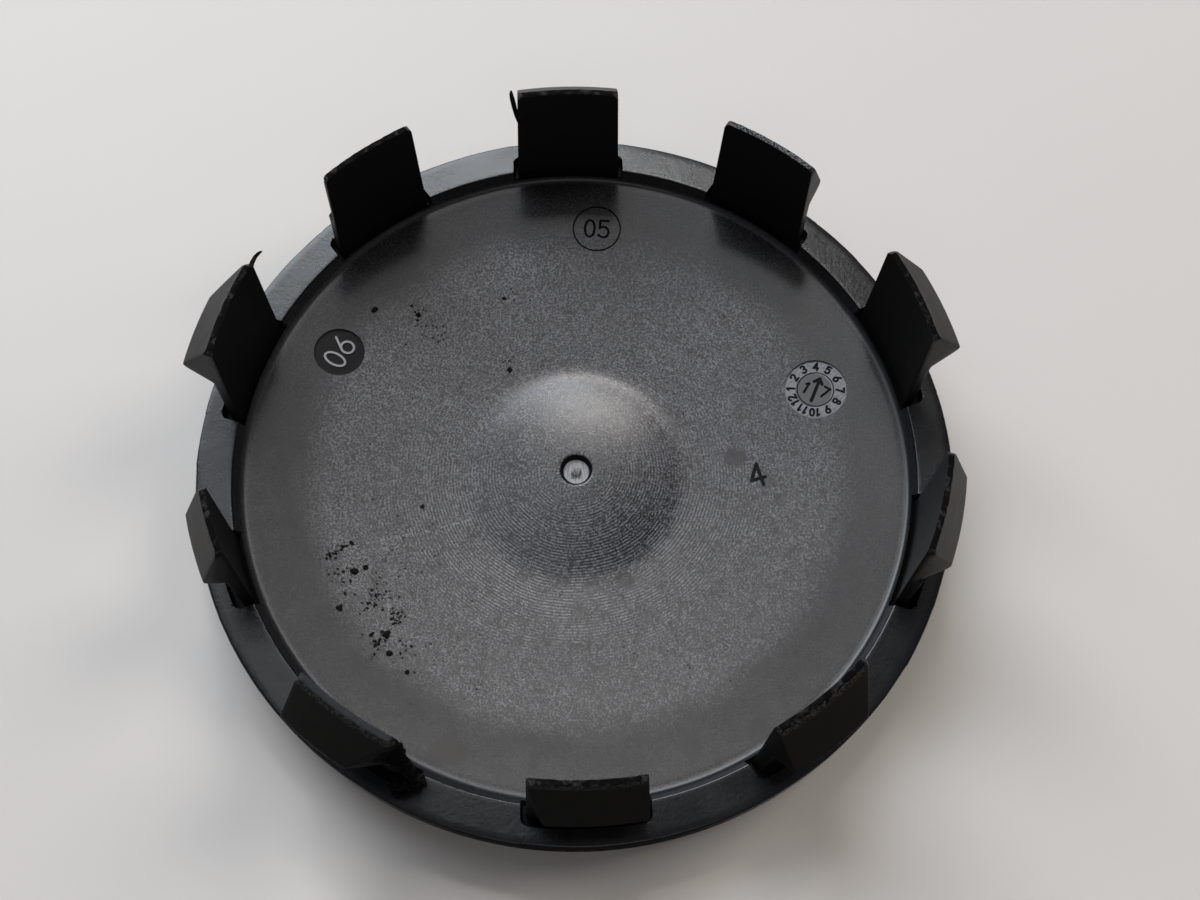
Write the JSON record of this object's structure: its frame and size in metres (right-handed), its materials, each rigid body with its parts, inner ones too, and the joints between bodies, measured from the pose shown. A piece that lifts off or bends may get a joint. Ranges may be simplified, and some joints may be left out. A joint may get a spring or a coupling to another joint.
{
  "type": "wheel centre cap",
  "caption": "Round black snap-in cap for a wheel's centre hole, seen from behind, with a dished disc, a flange and a ring of hooked clips.",
  "frame": {"origin": "on the cap's axis at the lowest point of its domed front, on which it lies", "axes": "+Z along the axis from the front to the clips' tips, +Y away from the camera through the middle of the clip at the top of the picture"},
  "size_m": [0.056, 0.056, 0.0147],
  "materials": {
    "black_plastic": "moulded black glass-filled plastic, satin, with a spark-eroded grain on the floor"
  },
  "bodies": {
    "root": {"clip_cap": "black_plastic"}
  },
  "joints": []
}
